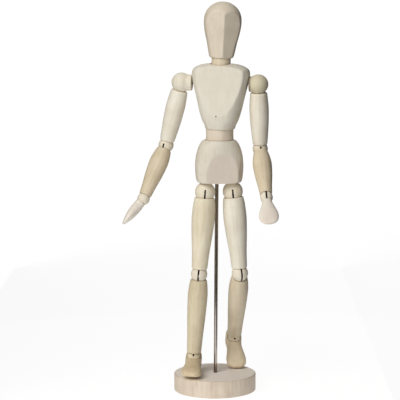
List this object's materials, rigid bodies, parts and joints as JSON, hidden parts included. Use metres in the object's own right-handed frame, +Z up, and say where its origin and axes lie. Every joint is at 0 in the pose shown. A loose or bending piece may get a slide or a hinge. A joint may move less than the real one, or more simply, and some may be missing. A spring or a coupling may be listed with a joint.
{
  "type": "artist mannequin",
  "caption": "Posable wooden artist mannequin with ball-jointed, spring-strung limbs on a steel rod and a turned round base.",
  "frame": {"origin": "centre of the base's flat underside", "axes": "+Z up along the standing figure, -Y the way the base and stand face with the figure's front, +X the figure's left"},
  "size_m": [0.1305, 0.1026, 0.3321],
  "materials": {
    "trunk_wood": "sanded, unvarnished",
    "pale_limb_wood": "sanded, unvarnished",
    "tan_limb_wood": "sanded, unvarnished",
    "ball_wood": "sanded, unvarnished",
    "base_wood": "turned, unvarnished",
    "chromed_rod": "bright plated",
    "pin_steel": "drawn wire",
    "spring_steel": "close-wound wire"
  },
  "bodies": {
    "base": {"base_disc": "base_wood"},
    "rod": {"support_rod": "chromed_rod"},
    "pelvis": {"pelvis": "trunk_wood"},
    "waist_link": {"waist_spring": "spring_steel"},
    "waist": {"waist": "trunk_wood"},
    "chest": {"chest": "trunk_wood", "shoulder_spring": "spring_steel"},
    "neck_link": {"neck_spring": "spring_steel"},
    "neck": {"neck": "pale_limb_wood"},
    "head": {"head": "trunk_wood"},
    "right_shoulder": {"right_shoulder_ball": "ball_wood", "right_shoulder_pin": "pin_steel"},
    "right_upper_arm": {"right_upper_arm": "pale_limb_wood", "right_upper_arm_spring": "spring_steel"},
    "right_elbow": {"right_elbow_ball": "ball_wood", "right_elbow_pin": "pin_steel"},
    "right_forearm": {"right_forearm": "tan_limb_wood", "right_forearm_spring": "spring_steel"},
    "right_wrist": {"right_wrist_ball": "ball_wood", "right_wrist_pin": "pin_steel"},
    "right_hand_link": {"right_hand_hook": "pin_steel"},
    "right_hand": {"right_hand": "trunk_wood"},
    "left_shoulder": {"left_shoulder_ball": "ball_wood", "left_shoulder_pin": "pin_steel"},
    "left_upper_arm": {"left_upper_arm": "pale_limb_wood", "left_upper_arm_spring": "spring_steel"},
    "left_elbow": {"left_elbow_ball": "ball_wood", "left_elbow_pin": "pin_steel"},
    "left_forearm": {"left_forearm": "tan_limb_wood", "left_forearm_spring": "spring_steel"},
    "left_wrist": {"left_wrist_ball": "ball_wood", "left_wrist_pin": "pin_steel"},
    "left_hand_link": {"left_hand_hook": "pin_steel"},
    "left_hand": {"left_hand": "trunk_wood"},
    "right_hip_link": {"right_hip_spring": "spring_steel"},
    "right_hip": {"right_hip_ball": "ball_wood", "right_hip_pin": "pin_steel"},
    "right_thigh": {"right_thigh": "pale_limb_wood", "right_thigh_spring": "spring_steel"},
    "right_knee": {"right_knee_ball": "ball_wood", "right_knee_pin": "pin_steel"},
    "right_shin": {"right_shin": "tan_limb_wood", "right_shin_spring": "spring_steel"},
    "right_ankle": {"right_ankle_ball": "ball_wood", "right_ankle_pin": "pin_steel"},
    "right_foot_link": {"right_foot_hook": "pin_steel"},
    "right_foot": {"right_foot": "tan_limb_wood"},
    "left_hip_link": {"left_hip_spring": "spring_steel"},
    "left_hip": {"left_hip_ball": "ball_wood", "left_hip_pin": "pin_steel"},
    "left_thigh": {"left_thigh": "pale_limb_wood", "left_thigh_spring": "spring_steel"},
    "left_knee": {"left_knee_ball": "ball_wood", "left_knee_pin": "pin_steel"},
    "left_shin": {"left_shin": "tan_limb_wood", "left_shin_spring": "spring_steel"},
    "left_ankle": {"left_ankle_ball": "ball_wood", "left_ankle_pin": "pin_steel"},
    "left_foot_link": {"left_foot_hook": "pin_steel"},
    "left_foot": {"left_foot": "tan_limb_wood"}
  },
  "joints": [
    {"name": "rod_slide", "type": "slide", "parent": "base", "child": "rod", "axis": [0.0075, 0, 1], "range_m": [0, 0.01]},
    {"name": "figure_turn", "type": "hinge", "parent": "rod", "child": "pelvis", "pos_m": [0.00164, 0, 0.18055], "axis": [0.0075, 0, 1], "continuous": true},
    {"name": "waist_turn", "type": "hinge", "parent": "pelvis", "child": "waist_link", "pos_m": [0.00391, -0.0088, 0.23292], "axis": [0.0075, 0, 1], "range_deg": [-40, 40]},
    {"name": "waist_lean", "type": "hinge", "parent": "waist_link", "child": "waist", "pos_m": [0.00391, -0.0088, 0.23292], "axis": [0.1495, 0.9888, -0.0011], "range_deg": [-8, 8]},
    {"name": "chest_bow", "type": "hinge", "parent": "waist", "child": "chest", "pos_m": [0.00414, -0.00886, 0.20934], "axis": [0.9887, -0.1495, -0.0144], "range_deg": [-10, 10], "deforming": ["waist_spring"]},
    {"name": "neck_turn", "type": "hinge", "parent": "chest", "child": "neck_link", "pos_m": [0.00517, -0.00894, 0.28125], "axis": [0.0144, -0.001, 0.9999], "range_deg": [-80, 80]},
    {"name": "neck_lean", "type": "hinge", "parent": "neck_link", "child": "neck", "pos_m": [0.00517, -0.00894, 0.28125], "axis": [-0.2079, 0.9781, 0.004], "range_deg": [-5, 5]},
    {"name": "head_nod", "type": "hinge", "parent": "neck", "child": "head", "pos_m": [0.00509, -0.00894, 0.27747], "axis": [0.9775, 0.2079, -0.0366], "range_deg": [-15, 15], "deforming": ["neck_spring"]},
    {"name": "right_shoulder_swing", "type": "hinge", "parent": "chest", "child": "right_shoulder", "pos_m": [-0.02809, -0.00393, 0.26441], "axis": [0.9887, -0.1495, -0.0144], "range_deg": [-150, 50], "deforming": ["shoulder_spring"]},
    {"name": "right_arm_lift", "type": "hinge", "parent": "right_shoulder", "child": "right_upper_arm", "pos_m": [-0.02809, -0.00393, 0.26441], "axis": [0.1502, 0.9849, 0.086], "range_deg": [-15, 75]},
    {"name": "right_elbow_turn", "type": "hinge", "parent": "right_upper_arm", "child": "right_elbow", "pos_m": [-0.04137, 0.00278, 0.21083], "axis": [0.2388, -0.1206, 0.9636], "range_deg": [-80, 80]},
    {"name": "right_elbow_bend", "type": "hinge", "parent": "right_elbow", "child": "right_forearm", "pos_m": [-0.04137, 0.00278, 0.21083], "axis": [0.9004, -0.3442, -0.2662], "range_deg": [-42, 28], "deforming": ["right_upper_arm_spring"]},
    {"name": "right_wrist_turn", "type": "hinge", "parent": "right_forearm", "child": "right_wrist", "pos_m": [-0.06008, -0.01221, 0.16695], "axis": [0.3741, 0.2998, 0.8776], "range_deg": [-80, 80]},
    {"name": "right_wrist_bend", "type": "hinge", "parent": "right_wrist", "child": "right_hand_link", "pos_m": [-0.06008, -0.01221, 0.16695], "axis": [-0.083, 0.9533, -0.2903], "range_deg": [-60, 25], "deforming": ["right_forearm_spring"]},
    {"name": "right_hand_twist", "type": "hinge", "parent": "right_hand_link", "child": "right_hand", "pos_m": [-0.06008, -0.01221, 0.16695], "axis": [0.6278, 0.2762, 0.7277], "range_deg": [-90, 90]},
    {"name": "left_shoulder_swing", "type": "hinge", "parent": "chest", "child": "left_shoulder", "pos_m": [0.03627, -0.01366, 0.26347], "axis": [0.9887, -0.1495, -0.0144], "range_deg": [-150, 50]},
    {"name": "left_arm_lift", "type": "hinge", "parent": "left_shoulder", "child": "left_upper_arm", "pos_m": [0.03627, -0.01366, 0.26347], "axis": [-0.1499, -0.9764, -0.1553], "range_deg": [-3, 80]},
    {"name": "left_elbow_turn", "type": "hinge", "parent": "left_upper_arm", "child": "left_elbow", "pos_m": [0.03821, -0.00522, 0.20855], "axis": [-0.035, -0.1517, 0.9878], "range_deg": [-27, 80]},
    {"name": "left_elbow_bend", "type": "hinge", "parent": "left_elbow", "child": "left_forearm", "pos_m": [0.03821, -0.00522, 0.20855], "axis": [0.9958, 0.0786, 0.0474], "range_deg": [-20, 50], "deforming": ["left_upper_arm_spring"]},
    {"name": "left_wrist_turn", "type": "hinge", "parent": "left_forearm", "child": "left_wrist", "pos_m": [0.04261, -0.03874, 0.1717], "axis": [-0.088, 0.6702, 0.7369], "range_deg": [-80, 80]},
    {"name": "left_wrist_bend", "type": "hinge", "parent": "left_wrist", "child": "left_hand_link", "pos_m": [0.04261, -0.03874, 0.1717], "axis": [0.9958, 0.0399, 0.0826], "range_deg": [-50, 45], "deforming": ["left_forearm_spring"]},
    {"name": "left_hand_twist", "type": "hinge", "parent": "left_hand_link", "child": "left_hand", "pos_m": [0.04261, -0.03874, 0.1717], "axis": [-0.087, 0.6957, 0.7131], "range_deg": [-90, 90]},
    {"name": "right_hip_turn", "type": "hinge", "parent": "pelvis", "child": "right_hip_link", "pos_m": [-0.00812, -0.01128, 0.18062], "axis": [0.0075, 0, 1], "range_deg": [-30, 45]},
    {"name": "right_hip_splay", "type": "hinge", "parent": "right_hip_link", "child": "right_hip", "pos_m": [-0.00818, -0.01128, 0.17272], "axis": [0, 1, 0], "range_deg": [-2, 35]},
    {"name": "right_hip_swing", "type": "hinge", "parent": "right_hip", "child": "right_thigh", "pos_m": [-0.00818, -0.01128, 0.17272], "axis": [0.9973, 0, -0.0738], "range_deg": [-75, 18], "deforming": ["right_hip_spring"]},
    {"name": "right_knee_turn", "type": "hinge", "parent": "right_thigh", "child": "right_knee", "pos_m": [-0.0134, -0.01029, 0.10222], "axis": [0.0738, -0.014, 0.9972], "range_deg": [-45, 45]},
    {"name": "right_knee_bend", "type": "hinge", "parent": "right_knee", "child": "right_shin", "pos_m": [-0.0134, -0.01029, 0.10222], "axis": [0.9934, -0.0871, -0.0747], "range_deg": [-4.5, 62], "deforming": ["right_thigh_spring"]},
    {"name": "right_ankle_turn", "type": "hinge", "parent": "right_shin", "child": "right_ankle", "pos_m": [-0.0182, -0.00264, 0.02938], "axis": [0.0655, -0.1042, 0.9924], "range_deg": [-45, 45]},
    {"name": "right_ankle_bend", "type": "hinge", "parent": "right_ankle", "child": "right_foot_link", "pos_m": [-0.0182, -0.00264, 0.02938], "axis": [0.9961, -0.0525, -0.0712], "range_deg": [-20, 1.5], "deforming": ["right_shin_spring"]},
    {"name": "right_foot_twist", "type": "hinge", "parent": "right_foot_link", "child": "right_foot", "pos_m": [-0.0182, -0.00264, 0.02938], "axis": [0.071, -0.0068, 0.9975], "range_deg": [-30, 30]},
    {"name": "left_hip_turn", "type": "hinge", "parent": "pelvis", "child": "left_hip_link", "pos_m": [0.01516, -0.00633, 0.18044], "axis": [-0.0075, 0, -1], "range_deg": [-40, 45]},
    {"name": "left_hip_splay", "type": "hinge", "parent": "left_hip_link", "child": "left_hip", "pos_m": [0.0151, -0.00633, 0.17254], "axis": [0, 1, 0], "range_deg": [-35, 5]},
    {"name": "left_hip_swing", "type": "hinge", "parent": "left_hip", "child": "left_thigh", "pos_m": [0.0151, -0.00633, 0.17254], "axis": [0.9962, 0, 0.0866], "range_deg": [-80, 30], "deforming": ["left_hip_spring"]},
    {"name": "left_knee_turn", "type": "hinge", "parent": "left_thigh", "child": "left_knee", "pos_m": [0.02122, -0.00509, 0.10212], "axis": [-0.0866, -0.0175, 0.9961], "range_deg": [-45, 30]},
    {"name": "left_knee_bend", "type": "hinge", "parent": "left_knee", "child": "left_shin", "pos_m": [0.02122, -0.00509, 0.10212], "axis": [0.9601, 0.2655, 0.0881], "range_deg": [-4, 43], "deforming": ["left_thigh_spring"]},
    {"name": "left_ankle_turn", "type": "hinge", "parent": "left_shin", "child": "left_ankle", "pos_m": [0.01679, 0.03192, 0.03889], "axis": [0.0604, -0.5043, 0.8614], "range_deg": [-45, 45]},
    {"name": "left_ankle_bend", "type": "hinge", "parent": "left_ankle", "child": "left_foot_link", "pos_m": [0.01679, 0.03192, 0.03889], "axis": [0.9929, 0.1188, -0.0001], "range_deg": [-20, 1.5], "deforming": ["left_shin_spring"]},
    {"name": "left_foot_twist", "type": "hinge", "parent": "left_foot_link", "child": "left_foot", "pos_m": [0.01679, 0.03192, 0.03889], "axis": [0.0538, -0.4496, 0.8916], "range_deg": [-30, 30]}
  ]
}
